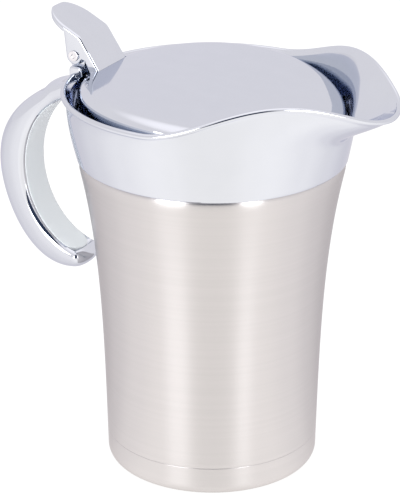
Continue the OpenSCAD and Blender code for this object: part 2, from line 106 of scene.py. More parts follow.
def loft(rows, capEnds=True):  # skin through closed rows of equal length
    n, m = len(rows), len(rows[0])
    points = [p for row in rows for p in row]
    faces = []
    for i in range(n - 1 if capEnds else n):
        for j in range(m):
            a, b, k = i * m, (i + 1) % n * m, (j + 1) % m
            faces.append((a + j, a + k, b + k, b + j))
    if capEnds:
        for row in (0, n - 1):
            middle = sum((Vector(p) for p in rows[row]), Vector()) / m
            points.append(tuple(middle))
            for j in range(m):
                faces.append((row * m + j, row * m + (j + 1) % m, len(points) - 1))
    return points, faces


def inset(outline, depth):  # moves each point of a closed outline inwards
    area = sum(a[0] * b[1] - b[0] * a[1] for a, b in zip(outline, outline[1:] + outline[:1]))
    side = 1 if area > 0 else -1
    moved = []
    for i, p in enumerate(outline):
        run = Vector(outline[(i + 1) % len(outline)]) - Vector(outline[i - 1])
        run.normalize()
        moved.append((p[0] - side * run.y * depth, p[1] + side * run.x * depth))
    return moved


def softPrism(outline, half, edge, share=None, steps=6):  # side view across Y with round edges
    turns = [math.radians(g) for g in spread(-90, 0, steps) + spread(0, 90, steps)]
    rows = []
    for k, g in enumerate(turns):
        y = math.copysign(half - edge, k - steps - 0.5) + edge * math.sin(g)
        ring = inset(outline, edge * (1 - math.cos(g)))
        rows.append([(x, y * (share(x) if share else 1), z) for x, z in ring])
    n, m = len(rows), len(outline)
    points, faces = loft(rows, capEnds=False)
    faces = [f for f in faces if max(f) - min(f) < (n - 1) * m]
    faces += [tuple(range(m)), tuple(range((n - 1) * m, n * m))]
    return points, faces


def meshObject(name, points, faces):
    mesh = bpy.data.meshes.new(name)
    mesh.from_pydata([Vector(p) * mm for p in points], [], faces)
    work = bmesh.new()
    work.from_mesh(mesh)
    bmesh.ops.recalc_face_normals(work, faces=work.faces)
    big = [f for f in work.faces if len(f.verts) > 4]
    bmesh.ops.triangulate(work, faces=big, quad_method="BEAUTY", ngon_method="BEAUTY")
    work.to_mesh(mesh)
    work.free()
    piece = bpy.data.objects.new(name, mesh)
    bpy.context.scene.collection.objects.link(piece)
    return piece


def combine(piece, other, operation):  # the other object is used up
    change = piece.modifiers.new("combine", "BOOLEAN")
    change.operation = operation
    change.solver = "EXACT"
    change.object = other
    seen = piece.evaluated_get(bpy.context.evaluated_depsgraph_get())
    mesh = bpy.data.meshes.new_from_object(seen)
    piece.modifiers.clear()
    piece.data = mesh
    bpy.data.objects.remove(other)


def dress(piece, material, body, slotName, *nodes, sharp=32):
    piece.data.materials.clear()
    piece.data.materials.append(material)
    for face in piece.data.polygons:
        face.use_smooth = True
    piece.data.set_sharp_from_angle(angle=math.radians(sharp))
    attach(piece, body)
    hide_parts(*nodes)
    print("piece", piece.name, "faces", len(piece.data.polygons))


# materials

noiseSpan = (0.3, 0.7)  # most of a noise field lies between these


def startMaterial(name, metallic, roughness):
    material = bpy.data.materials.new(name)
    material.use_nodes = True
    tree = material.node_tree
    shader = tree.nodes["Principled BSDF"]
    shader.inputs["Metallic"].default_value = metallic
    shader.inputs["Roughness"].default_value = roughness
    return material, tree, shader


def noiseField(tree, scale, detail=3.0):  # noise on the piece's own place, scale per metre
    place = tree.nodes.new("ShaderNodeTexCoord")
    stretch = tree.nodes.new("ShaderNodeMapping")
    stretch.inputs["Scale"].default_value = scale
    noise = tree.nodes.new("ShaderNodeTexNoise")
    noise.inputs["Scale"].default_value = 1.0
    noise.inputs["Detail"].default_value = detail
    tree.links.new(place.outputs["Object"], stretch.inputs["Vector"])
    tree.links.new(stretch.outputs["Vector"], noise.inputs["Vector"])
    return noise.outputs["Fac"]


def between(tree, field, low, high, socket):  # maps a field to a range of one number
    mapped = tree.nodes.new("ShaderNodeMapRange")
    mapped.inputs["From Min"].default_value = noiseSpan[0]
    mapped.inputs["From Max"].default_value = noiseSpan[1]
    mapped.inputs["To Min"].default_value = low
    mapped.inputs["To Max"].default_value = high
    tree.links.new(field, mapped.inputs["Value"])
    tree.links.new(mapped.outputs["Result"], socket)


def tinted(tree, field, low, high, socket):  # maps a field to a range of colour
    ramp = tree.nodes.new("ShaderNodeValToRGB")
    for stop, place, colour in zip(ramp.color_ramp.elements, noiseSpan, (low, high)):
        stop.position = place
        stop.color = (*colour, 1)
    tree.links.new(field, ramp.inputs["Fac"])
    tree.links.new(ramp.outputs["Color"], socket)


def bumped(tree, shader, field, strength, depth):
    bump = tree.nodes.new("ShaderNodeBump")
    bump.inputs["Strength"].default_value = strength
    bump.inputs["Distance"].default_value = depth * mm
    tree.links.new(field, bump.inputs["Height"])
    tree.links.new(bump.outputs["Normal"], shader.inputs["Normal"])


brushed = {
    "dark": (0.61, 0.6, 0.606), "light": (0.627, 0.615, 0.622), "grazing": (0.77, 0.76, 0.76),
    "linerDark": (0.56, 0.56, 0.57), "linerLight": (0.64, 0.64, 0.65),
    "roughness": (0.275, 0.293), "stretch": 0.85, "turn": 0.25, "relief": 0.0009, "depth": 0.03,
    "hairs": (14, 14, 6000), "strokes": (9, 9, 900),  # features per metre
}


def brushedSteel(name, dark, light):  # strokes run round the body
    material, tree, shader = startMaterial(name, metallic=1.0, roughness=0.3)
    hairs = noiseField(tree, brushed["hairs"])
    strokes = noiseField(tree, brushed["strokes"], detail=1.0)
    tinted(tree, strokes, dark, light, shader.inputs["Base Color"])
    between(tree, hairs, *brushed["roughness"], shader.inputs["Roughness"])
    bumped(tree, shader, hairs, brushed["relief"], brushed["depth"])
    shader.inputs["Specular Tint"].default_value = (*brushed["grazing"], 1)
    shader.inputs["Anisotropic"].default_value = brushed["stretch"]
    shader.inputs["Anisotropic Rotation"].default_value = brushed["turn"]
    tangent = tree.nodes.new("ShaderNodeTangent")
    tangent.direction_type = "RADIAL"
    tangent.axis = "Z"
    tree.links.new(tangent.outputs["Tangent"], shader.inputs["Tangent"])
    return material


plating = {
    "dark": (0.65, 0.684, 0.744), "light": (0.662, 0.696, 0.756), "grazing": (0.88, 0.89, 0.94),
    "roughness": (0.05, 0.08), "wave": 45, "smudge": 120, "relief": 0.012, "depth": 0.05,
}


def brightChrome():
    material, tree, shader = startMaterial("brightChrome", metallic=1.0, roughness=0.06)
    wave = noiseField(tree, (plating["wave"],) * 3, detail=1.0)
    smudge = noiseField(tree, (plating["smudge"],) * 3)
    tinted(tree, smudge, plating["dark"], plating["light"], shader.inputs["Base Color"])
    between(tree, smudge, *plating["roughness"], shader.inputs["Roughness"])
    bumped(tree, shader, wave, plating["relief"], plating["depth"])
    shader.inputs["Specular Tint"].default_value = (*plating["grazing"], 1)
    return material


moulded = {  # two colours and the roughness
    "strip": ((0.79, 0.835, 0.865), (0.82, 0.86, 0.885), (0.36, 0.44)),
    "dark": ((0.035, 0.055, 0.095), (0.05, 0.075, 0.12), (0.4, 0.5)),
    "silicone": ((0.72, 0.72, 0.7), (0.8, 0.8, 0.78), (0.55, 0.65)),
    "grain": 1800, "cloud": 40, "relief": 0.15, "depth": 0.03,
}


def mouldedPlastic(name, finish):
    material, tree, shader = startMaterial(name, metallic=0.0, roughness=0.45)
    low, high, rough = moulded[finish]
    grain = noiseField(tree, (moulded["grain"],) * 3)
    cloud = noiseField(tree, (moulded["cloud"],) * 3)
    tinted(tree, cloud, low, high, shader.inputs["Base Color"])
    between(tree, grain, *rough, shader.inputs["Roughness"])
    bumped(tree, shader, grain, moulded["relief"], moulded["depth"])
    return material


turned = {
    "dark": (0.72, 0.72, 0.75), "light": (0.82, 0.82, 0.85), "roughness": (0.16, 0.26),
    "marks": (900, 300, 900), "relief": 0.08, "depth": 0.02,
}


def turnedSteel():
    material, tree, shader = startMaterial("turnedSteel", metallic=1.0, roughness=0.2)
    marks = noiseField(tree, turned["marks"])
    tinted(tree, marks, turned["dark"], turned["light"], shader.inputs["Base Color"])
    between(tree, marks, *turned["roughness"], shader.inputs["Roughness"])
    bumped(tree, shader, marks, turned["relief"], turned["depth"])
    return material


steelFinish = brushedSteel("brushedSteel", brushed["dark"], brushed["light"])
linerFinish = brushedSteel("linerSteel", brushed["linerDark"], brushed["linerLight"])
chromeFinish = brightChrome()
stripFinish = mouldedPlastic("gripStripPlastic", "strip")
darkFinish = mouldedPlastic("darkPlastic", "dark")
siliconeFinish = mouldedPlastic("siliconeRubber", "silicone")
pinFinish = turnedSteel()
print("materials ready")


# steel body: shell, base cup, liner and seal, all turned

body = {
    "seamZ": 129.6, "seamR": 53.5, "baseR": 42.5, "taper": 0.27, "flare": 3.6,
    "sheet": 0.8, "space": 4.2, "baseH": 12.4, "baseCorner": 4.5, "footRing": 6, "footRecess": 2,
    "spigotH": 4, "spigotGap": 0.1, "wallFrom": 0.5, "neckR": 51.1, "neckH": 9,
    "linerFloor": 9, "linerCorner": 9, "seamRoll": 1.7, "seamRollH": 5, "jointRoll": 0.15,
    "sealIn": 47.3, "sealT": 1.6, "sealEdges": (0.4, 0.2),
}


def bodyR(z):  # outside of the flared wall
    u = z / body["seamZ"]
    rise = body["taper"] * u + (1 - body["taper"]) * u ** body["flare"]
    return body["baseR"] + (body["seamR"] - body["baseR"]) * rise


def wallLine(z0, z1, deep, steps=60):
    return [(bodyR(z) - deep, z) for z in spread(z0, z1, steps)]


def steelShell():
    b = body
    roll, joint, sheet = b["seamRoll"], b["jointRoll"], b["sheet"]
    low, top, neckTop = b["baseH"], b["seamZ"], b["seamZ"] + b["neckH"]
    rollLow = top - b["seamRollH"]
    wall = wallLine(low + joint, rollLow, 0)
    shoulder = []
    # follows the flare and draws in under the collar
    for r, u in arc(-roll, 0, roll, 0, 90, steps=16):
        z = rollLow + b["seamRollH"] * u / roll
        shoulder.append((bodyR(z) + r, z))
    neckIn = b["neckR"] - sheet
    neck = [(b["neckR"], top), (b["neckR"], neckTop), (neckIn, neckTop), (neckIn, top - sheet)]
    inner = wallLine(top - sheet, low, sheet, steps=30)
    foot = arc(wall[0][0] - joint, low + joint, joint, -90, 0, steps=4)
    piece = meshObject("steelShell", *lathe(wall + shoulder[1:] + neck + inner + foot[:-1]))
    dress(piece, steelFinish, "jug", "brushed_steel", "outer_shell")


def baseCup():
    b = body
    corner, sheet, low, joint = b["baseCorner"], b["sheet"], b["baseH"], b["jointRoll"]
    ringOut = bodyR(corner) - corner
    ringIn = ringOut - b["footRing"]
    recess = b["footRecess"]
    spigot = bodyR(low) - sheet - b["spigotGap"]
    top = low + b["spigotH"]
    under = [(0, recess), (ringIn - recess, recess), (ringIn - recess / 2, recess / 2), (ringIn, 0)]
    side = arc(ringOut, corner, corner, -90, 0, steps=14)
    wall = wallLine(corner + b["wallFrom"], low - joint, 0, steps=10)
    edge = arc(bodyR(low) - joint, low - joint, joint, 0, 90, steps=4)
    inside = [(spigot, low), (spigot, top), (spigot - sheet, top), (spigot - sheet, corner)]
    floor = [(ringOut, sheet), (ringIn, sheet),
             (ringIn - recess, recess + sheet), (0, recess + sheet)]
    piece = meshObject("baseCup", *lathe(under + side + wall + edge + inside + floor))
    dress(piece, steelFinish, "jug", "brushed_steel", "base_cup")


def innerLiner():
    b = body
    deep, sheet, corner = b["sheet"] + b["space"], b["sheet"], b["linerCorner"]
    cornerZ = b["linerFloor"] + corner
    cornerX = bodyR(cornerZ) - deep - corner
    neckTop = b["seamZ"] + b["neckH"]
    topR = b["seamR"] - deep
    outside = [(0, b["linerFloor"])] + arc(cornerX, cornerZ, corner, -90, 0, steps=12)
    outside += wallLine(cornerZ, b["seamZ"], deep, steps=40)[1:]
    lip = [(topR, neckTop), (b["neckR"], neckTop), (b["neckR"], neckTop + sheet)]
    lip += arc(topR + sheet / 2, neckTop - sheet / 2, 1.5 * sheet, 90, 180, steps=6)
    inside = wallLine(b["seamZ"], cornerZ, deep + sheet, steps=40)
    inside += arc(cornerX, cornerZ, corner - sheet, 0, -90, steps=12)[1:]
    inside += [(0, b["linerFloor"] + sheet)]
    piece = meshObject("innerLiner", *lathe(outside + lip + inside))
    dress(piece, linerFinish, "jug", "liner_steel", "inner_liner")


def neckSeal():
    b = body
    low = b["seamZ"] + b["neckH"] + b["sheet"]
    high = low + b["sealT"]
    inEdge, outEdge = b["sealEdges"]
    corners = [(b["sealIn"], low, inEdge), (b["neckR"], low, outEdge),
               (b["neckR"], high, outEdge), (b["sealIn"], high, inEdge)]
    piece = meshObject("neckSeal", *lathe(softened(corners)))
    dress(piece, siliconeFinish, "jug", "silicone", "neck_seal")


steelShell()
baseCup()
innerLiner()
neckSeal()


# collar moulding with spout, handle and hinge knuckle

collar = {
    "wall": 2.2, "swell": 3.8, "curl": 2, "bellShare": 0.85, "curlShare": 0.75,
    "sideRim": 27.2, "crest": 11.4, "tip": 1.6, "crestX": 48.5, "climbX": 0,
    "reach": 78, "noseR": 26, "sideR": 265, "spoutStart": 0.48, "spoutFull": 1, "spoutLift": 1.5,
    "beadArc": (-40, 165), "lipDrop": 1.3, "throatDrop": 0.8, "footShare": 0.02, "footEdge": 0.4,
    "ledgeR": 47.2, "ledgeT": 2, "ledgeEdge": 0.3, "seatRound": 0.6, "steps": 288,
}
rimR = body["seamR"] + collar["swell"] + collar["curl"]
sideRimZ = body["seamZ"] + collar["sideRim"]
noseX = collar["reach"] - collar["noseR"]
ledgeLow = body["seamZ"] + body["neckH"] + body["sheet"] + body["sealT"]
ledgeTop = ledgeLow + collar["ledgeT"]

# centre of the wide arc that bows round the rim circle and the nose circle
rimAway, noseAway = collar["sideR"] - rimR, collar["sideR"] - collar["noseR"]
sideX = (rimAway ** 2 - noseAway ** 2 + noseX ** 2) / (2 * noseX)
sideY = -math.sqrt(rimAway ** 2 - sideX ** 2)
sideFrom = math.atan2(-sideY, -sideX)
sideShare = collar["sideR"] / noseAway
sideTo = math.atan2(sideY * (1 - sideShare), sideX + (noseX - sideX) * sideShare)


def reachAt(g, x, y, r):  # from the jug's axis to a circle, in the direction g
    aside = x * math.sin(g) - y * math.cos(g)
    return x * math.cos(g) + y * math.sin(g) + math.sqrt(r * r - aside ** 2)


def planR(a):  # the rim seen from above: circle, bowed sides, round nose
    g = abs((a + math.pi) % (2 * math.pi) - math.pi)
    if g >= sideFrom:
        return rimR
    if g >= sideTo:
        return reachAt(g, sideX, sideY, collar["sideR"])
    return reachAt(g, noseX, 0, collar["noseR"])


def rimZ(x):  # level at the back, up to the crests, down to the tip
    c = collar
    if x < c["crestX"]:
        return sideRimZ + c["crest"] * ease((x - c["climbX"]) / (c["crestX"] - c["climbX"]))
    fall = math.cos(math.pi / 2 * (x - c["crestX"]) / (c["reach"] - c["crestX"]))
    return sideRimZ + c["tip"] + (c["crest"] - c["tip"]) * fall


def collarR(a, t):  # t is 0 at the seam and 1 at the rim
    c = collar
    bell = c["swell"] * math.sin(math.pi / 2 * min(t / c["bellShare"], 1))
    curl = c["curl"] * (max(0, t - c["curlShare"]) / (1 - c["curlShare"])) ** 2
    out = ease((t - c["spoutStart"]) / (c["spoutFull"] - c["spoutStart"]))
    return body["seamR"] + bell + curl + (planR(a) - rimR) * out


def collarProfile(a):
    c, low = collar, body["seamZ"]
    top = rimZ(planR(a) * math.cos(a))
    high, bead = top - low, c["wall"] / 2
    beadR, beadZ = planR(a) - bead, top - bead
    lipStart = (beadZ - c["lipDrop"] - low) / high
    shares = spread(c["footShare"], lipStart, steps=40)
    outer = [(collarR(a, t), low + t * high) for t in shares]
    rim = arc(beadR, beadZ, bead, *c["beadArc"], steps=14)
    inner = []
    for z in spread(beadZ - c["throatDrop"], ledgeTop + c["seatRound"], steps=32):
        share, lifted = (z - low) / high, (z - c["spoutLift"] - low) / high
        inner.append((min(collarR(a, share), collarR(a, lifted)) - c["wall"], z))
    ledge, edge, skirt = c["ledgeR"], c["ledgeEdge"], body["seamR"] - c["wall"]
    seat = [(inner[-1][0] - c["seatRound"], ledgeTop), (ledge + edge, ledgeTop),
            (ledge, ledgeTop - edge), (ledge, ledgeLow)]
    foot = [(skirt, ledgeLow), (skirt, low), (body["seamR"] - c["footEdge"], low)]
    return outer + rim + inner + seat + foot


def collarRing():
    rows = []
    for i in range(collar["steps"]):
        a = 2 * math.pi * i / collar["steps"]
        rows.append([(r * math.cos(a), r * math.sin(a), z) for r, z in collarProfile(a)])
    return meshObject("collarMoulding", *loft(rows, capEnds=False))


hinge = {
    "leverW": 21.5, "cheekT": 2.25, "cheekGap": 0.3, "pinR": 1.5, "clear": 0.05,
    "knuckleR": 3.9, "knuckleEdge": 0.3, "shoulderGap": 0.6, "sink": 1,
    "back": 2.6, "front": 3.2, "drop": 9, "lowBack": 2.2, "lowFront": 1.5,
    "corner": 1.8, "backCorner": 2, "edge": 0.9, "fillet": 10, "blend": 0.5, "tail": 0.1,
}
shoulderZ = pinZ - hinge["knuckleR"] - hinge["shoulderGap"]
knuckleHalf = hinge["leverW"] / 2 - hinge["cheekT"] - hinge["cheekGap"]

grip = {
    "reach": 39.09, "gap": 23.4, "width": 18, "drop": 87.8, "toe": 4,
    "rootIn": 3.3, "rootTop": 2.2, "rootUnder": 11.4, "backDrop": 44.9, "faceDrop": 43.9,
    "toeIn": 3.9, "toeBack": 3.4, "toeFace": 9,
    "backPull": (18.75, 10.8), "backRise": 23, "backFall": 17.9, "backSweep": 10.6,
    "facePull": (14.7, 12.7), "faceRise": 15.1, "faceFall": 16.7,
    "faceSweep": 11.2, "faceSweepOut": 12.9,
    "rootFlare": 1.6, "rootShare": 0.3, "rootBoxy": 4, "rootRows": (0.16, 0.17),
    "fillet": 2.4, "filletFade": (1, 3), "toeTip": 0.01,
    "lip": ((20, 2.2), (28, 3.6), (8, 0.8)), "lipLevel": 0.3,  # turn and radius of each bend
    "stripFrom": 0.28, "stripT": 1.6, "stripLand": 1.7, "stripGap": 0.2, "stripEdge": 0.5,
    "stripRound": 7, "stripTip": 0.004, "endGap": 0.004, "recessLean": 0.02,
}


def fromRim(out, down):  # a place in the side view, measured from the rim at the back
    return (-(rimR + out), sideRimZ - down)


g = grip  # s runs along it from 0 at the root to 2 at the toe
backUpper = [fromRim(-g["rootIn"], g["rootTop"]), fromRim(*g["backPull"]),
             fromRim(g["reach"], g["backDrop"] - g["backRise"]), fromRim(g["reach"], g["backDrop"])]
backLower = [fromRim(g["reach"], g["backDrop"]), fromRim(g["reach"], g["backDrop"] + g["backFall"]),
             fromRim(g["gap"], g["drop"] + g["backSweep"]),
             fromRim(-g["toeIn"], g["drop"] - g["toeBack"])]
faceUpper = [fromRim(-g["rootIn"], g["rootUnder"]), fromRim(*g["facePull"]),
             fromRim(g["gap"], g["faceDrop"] - g["faceRise"]), fromRim(g["gap"], g["faceDrop"])]
faceLower = [fromRim(g["gap"], g["faceDrop"]), fromRim(g["gap"], g["faceDrop"] + g["faceFall"]),
             fromRim(g["faceSweepOut"], g["drop"] - g["faceSweep"]),
             fromRim(-g["toeIn"], g["drop"] - g["toeFace"])]
endSpeed = 3 * (Vector(faceLower[3]) - Vector(faceLower[2])).length  # mm per unit of s at the toe
toeShare = g["toe"] / endSpeed
stripTo = 2 - toeShare - g["endGap"]


def backAt(s):
    return bezier(backUpper, s) if s < 1 else bezier(backLower, s - 1)


def faceAt(s):
    return bezier(faceUpper, s) if s < 1 else bezier(faceLower, s - 1)


def halfW(s):
    return grip["width"] / 2 + grip["rootFlare"] * (1 - ease(s / grip["rootShare"]))


def stripHalf(s):  # half the strip's width, with a round end at the toe
    into = max(0, 1 - (stripTo - s) * endSpeed / grip["stripRound"])
    return (halfW(s) - grip["stripLand"]) * math.sqrt(max(grip["stripTip"], 1 - into * into))


def raisedBack(s):  # the grip's top sweeps up into the hinge's pedestal
    b = backAt(s)
    back, r = pinX - hinge["back"], hinge["fillet"]
    past = b.x - (back - r)
    if s < 1 and past > -r:
        sweep = shoulderZ - math.sqrt(r * r - min(max(past, 0), r) ** 2)
        sweep -= hinge["tail"] * min(past, 0) ** 2
        apart = math.sqrt((b.y - sweep) ** 2 + hinge["blend"] ** 2)
        b.y = min(shoulderZ, (b.y + sweep + apart) / 2)
    return b


def wallGap(x, y, z):  # distance from the collar's outside, near the handle's root
    t = (z - body["seamZ"]) / collar["sideRim"]
    return -x - math.sqrt(max(1, collarR(math.pi, t) ** 2 - y * y))


def gripLip(half):  # bends round from the side, then slopes down to the strip
    line, angle = [(0, half)], 0
    for turn, r in grip["lip"]:
        (u, v), start = line[-1], math.radians(angle)
        for a in spread(0, math.radians(turn), steps=5)[1:]:
            inward = math.sin(start + a) - math.sin(start)
            across = math.cos(start + a) - math.cos(start)
            line.append((u - r * inward, v + r * across))
        angle += turn
    u, v = line[-1]
    land = half - grip["stripLand"]
    line.append((u - (v - land) / math.tan(math.radians(angle)), land))
    rise = grip["lipLevel"] - line[-1][0]
    return [(u + rise, v) for u, v in line]


def gripSection(s):
    b, f = raisedBack(s), faceAt(s)
    thick = (b - f).length
    inward = (b - f) / thick
    half = halfW(s)
    lip = gripLip(half)
    edge, land = lip[0][0], stripHalf(s)
    boxy = 2 + grip["rootBoxy"] * (1 - ease(s / grip["rootShare"]))  # squarer at the pedestal
    outline = []
    for a in spread(0, math.pi, steps=40):
        across = math.copysign(abs(math.cos(a)) ** (2 / boxy), math.cos(a))
        outline.append((edge + (thick - edge) * max(0, math.sin(a)) ** (2 / boxy), half * across))
    recessed = grip["stripFrom"] <= s <= stripTo
    deep = grip["stripT"] if recessed else lip[-1][0]
    floorHalf = land - grip["recessLean"]
    outline += [(u, -v) for u, v in lip[1:]]
    outline += [(deep, -floorHalf), (deep, floorHalf)] + lip[:0:-1]
    into = max(0, (s - 2 + toeShare) / toeShare)
    scale = math.sqrt(max(grip["toeTip"], 1 - into * into))
    fadeFrom, fadeOver = grip["filletFade"]
    points = []
    for i, (u, v) in enumerate(outline):
        run = Vector(outline[(i + 1) % len(outline)]) - Vector(outline[i - 1])
        normal = Vector((-run.y, run.x)).normalized() if run.length else Vector((0, 0))
        place = f + inward * u
        if s < grip["rootShare"]:  # fillet into the collar's wall
            low = ease((sideRimZ - fadeFrom - place.y) / fadeOver)
            near = 1 - min(1, max(0, wallGap(place.x, v, place.y) / grip["fillet"]))
            grow = grip["fillet"] * (1 - math.sqrt(1 - near * near)) * low
            u, v = u + normal.x * grow, v + normal.y * grow
        u = thick / 2 + scale * (u - thick / 2)
        place = f + inward * u
        points.append((place.x, scale * v, place.y))
    return points


def gripLoft():
    step = 0.001  # the recess for the strip starts and ends this sharply
    closeTo, wideFrom = grip["rootRows"]
    root = spread(0, closeTo, steps=40) + spread(wideFrom, grip["stripFrom"] - step, steps=8)
    middle = spread(grip["stripFrom"], stripTo, steps=110)
    toe = [stripTo + step]
    toe += [2 - toeShare * (1 - math.sin(math.radians(a))) for a in range(0, 91, 9)]
    return meshObject("handleGrip", *loft([gripSection(s) for s in root + middle + toe]))


def pedestal():
    h = hinge
    back, front, low, r = pinX - h["back"], pinX + h["front"], shoulderZ - h["drop"], h["corner"]
    corners = [(back, shoulderZ, r), (front, shoulderZ, r), (front, sideRimZ - h["sink"], r),
               (pinX + h["lowFront"], low, r), (pinX - h["lowBack"], low, r),
               (back, shoulderZ - h["drop"] / 2, h["backCorner"])]
    return meshObject("pedestal", *softPrism(softened(corners), h["leverW"] / 2, h["edge"]))


def knuckle():
    h = hinge
    outline = arc(pinX, pinZ, h["knuckleR"], 0, 180, steps=28)
    low = shoulderZ - h["sink"]
    outline += [(pinX - h["back"], low), (pinX + h["front"], low)]
    return meshObject("knuckle", *softPrism(outline, knuckleHalf, h["knuckleEdge"]))


def alongPin(shape):  # turns a lathed shape to lie on the hinge axis
    points, faces = shape
    return [(pinX + x, z, pinZ + y) for x, y, z in points], faces


def drill(piece, r):  # a hole for the pin
    far = hinge["leverW"]
    bore = lathe([(0, -far), (r, -far), (r, far), (0, far)], segments=48)
    combine(piece, meshObject("bore", *alongPin(bore)), "DIFFERENCE")


def collarMoulding():
    piece = collarRing()
    for other in (gripLoft(), pedestal(), knuckle()):
        combine(piece, other, "UNION")
    drill(piece, hinge["pinR"] + hinge["clear"])
    dress(piece, chromeFinish, "jug", "bright_chrome", "collar", sharp=50)


def gripStrip():
    rows = []
    for s in spread(grip["stripFrom"] + grip["endGap"], stripTo - grip["endGap"], steps=110):
        b, f = backAt(s), faceAt(s)
        inward = (b - f).normalized()
        half = stripHalf(s) - grip["stripGap"]
        deep, edge = grip["stripT"] - grip["stripGap"] / 4, grip["stripEdge"]
        corners = [(0, half, edge), (deep, half, 0), (deep, -half, 0), (0, -half, edge)]
        outline = softened(corners, steps=4)
        rows.append([((f + inward * u).x, v, (f + inward * u).y) for u, v in outline])
    piece = meshObject("gripStrip", *loft(rows))
    dress(piece, stripFinish, "jug", "grip_strip", "handle_cover")


collarMoulding()
gripStrip()


# lid: plated cover and the plate that closes it

lid = {
    "gap": 2.8, "round": 5.6, "fall": 4.4, "wall": 2, "edge": 0.3,
    "rise": 3.6, "crownR": 300, "apexX": -26, "steps": 216, "rings": 24, "firstRing": 0.04,
    "plateT": 1.7, "plateIn": 0.4, "plateEdge": 0.6, "restGap": 0.3,
    "spigot": 1.5, "spigotGap": 0.1,
    "footX": 11.4, "footSink": 3.2, "footIn": 3.1, "seatT": 3.6, "seatGap": 0.08,
}
lidR = body["seamR"] + collar["swell"] - collar["wall"] - lid["gap"]
plateLow = ledgeTop + lid["restGap"]
coverLow = plateLow + lid["plateT"]


def lidZ(x):  # top of the lid, a shallow crown
    crown = lid["crownR"]
    return sideRimZ + lid["rise"] - crown + math.sqrt(crown ** 2 - (x - lid["apexX"]) ** 2)


footFront = pinX + lid["footX"]
footBack = -lidR + lid["footIn"]
footFloor = lidZ(footFront) - lid["footSink"]


def lidRing(r, drop, level=None):  # below the crown, or at one level
    ring = []
    for i in range(lid["steps"]):
        a = 2 * math.pi * i / lid["steps"]
        x, y = r * math.cos(a), r * math.sin(a)
        ring.append((x, y, lidZ(x) - drop if level is None else level))
    return ring


def block(name, x0, x1, half, z0, z1):
    corners = [(x0, z0), (x1, z0), (x1, z1), (x0, z1)]
    points = [(x, y, z) for y in (-half, half) for x, z in corners]
    faces = [(0, 1, 2, 3), (4, 5, 6, 7), (0, 1, 5, 4), (1, 2, 6, 5), (2, 3, 7, 6), (3, 0, 4, 7)]
    return meshObject(name, points, faces)


def lidCover():
    shoulder, fall, wall, edge = lid["round"], lid["fall"], lid["wall"], lid["edge"]
    crown = lidR - shoulder
    shares = spread(lid["firstRing"], 1, lid["rings"])
    rows = [lidRing(crown * k, 0) for k in shares]
    for a in range(81, -1, -9):
        turn = math.radians(a)
        rows.append(lidRing(crown + shoulder * math.cos(turn), fall * (1 - math.sin(turn))))
    rows += [lidRing(lidR, 0, coverLow + edge), lidRing(lidR - edge, 0, coverLow)]
    rows += [lidRing(lidR - wall, 0, coverLow)]
    for a in range(0, 91, 18):
        turn = math.radians(a)
        r = crown + (shoulder - wall) * math.cos(turn)
        rows.append(lidRing(r, fall - (fall - wall) * math.sin(turn)))
    rows += [lidRing(crown * k, wall) for k in reversed(shares[::4])]
    piece = meshObject("lidCover", *loft(rows))
    half, gap = hinge["leverW"] / 2, lid["seatGap"]
    seat = block("seat", -lidR + wall, footFront + wall, half + wall,
                 footFloor - lid["seatT"], footFloor + lid["footSink"] / 2)
    insideR, tall = lidR - wall / 2, 200  # well above the lid
    inside = lathe([(0, 0), (insideR, 0), (insideR, tall), (0, tall)])
    combine(seat, meshObject("inside", *inside), "INTERSECT")
    combine(piece, seat, "UNION")
    over, behind = 10, 1  # the cut runs out above the lid and behind the foot
    slot = block("slot", footBack - behind, footFront + gap, half + gap,
                 footFloor, footFloor + over)
    combine(piece, slot, "DIFFERENCE")
    dress(piece, chromeFinish, "lid", "bright_chrome", "lid_cover")


def lidPlate():
    outer, ring = lidR - lid["plateIn"], lidR - lid["wall"] - lid["spigotGap"]
    ringIn, ringTop, edge = ring - lid["spigot"], coverLow + lid["spigot"], lid["edge"]
    corners = [(0, plateLow, 0), (outer, plateLow, lid["plateEdge"]), (outer, coverLow, 0),
               (ring, coverLow, 0), (ring, ringTop, edge), (ringIn, ringTop, edge),
               (ringIn, coverLow, 0), (0, coverLow, 0)]
    piece = meshObject("lidPlate", *lathe(softened(corners)))
    dress(piece, darkFinish, "lid", "dark_plastic", "lid_liner")


lidCover()
lidPlate()


# thumb lever, hinge pin and screws

lever = {
    "thick": 2.6, "bendH": 7.8, "bendX": 3.1, "bendR": 6, "thumb": 19, "slope": 27, "corner": 10,
    "cheekBack": 4.9, "notch": (4.4, -1.7), "bossArc": (180, 338), "edge": 1.2, "tipLeast": 0.5,
    "topRows": (0.1, 0.95), "underRows": (0.06, 0.9), "underGap": 0.5,
    "pocketSpare": 0.05, "pocketDeep": 8, "pocketEdge": 0.4, "pinFit": 0.01,
}


def along(angle, length):  # a step in the side view
    a = math.radians(angle)
    return Vector((math.cos(a), math.sin(a))) * length


bend = Vector((pinX + lever["bendX"], pinZ + lever["bendH"]))
foot = Vector((footFront, lidZ(footFront)))
legAngle = math.degrees(math.atan2(bend.y - foot.y, bend.x - foot.x))
thumbAngle = 180 - lever["slope"]
thumbTip = bend + along(thumbAngle, lever["thumb"])
bendBack = lever["bendR"] * math.tan(math.radians(thumbAngle - legAngle) / 2)
bendCentre = bend - along(legAngle, bendBack) + along(legAngle + 90, lever["bendR"])


def bendArc(r):
    return arc(*bendCentre, r, legAngle - 90, thumbAngle - 90, steps=12)


def plateWidth(x):  # share of the full width, rounding off towards the thumb's tip
    half, corner = hinge["leverW"] / 2, lever["corner"]
    into = (thumbTip.x - lever["thick"] / 4 + corner) - x
    if into <= 0:
        return 1
    return (half - corner + math.sqrt(max(lever["tipLeast"], corner ** 2 - into ** 2))) / half


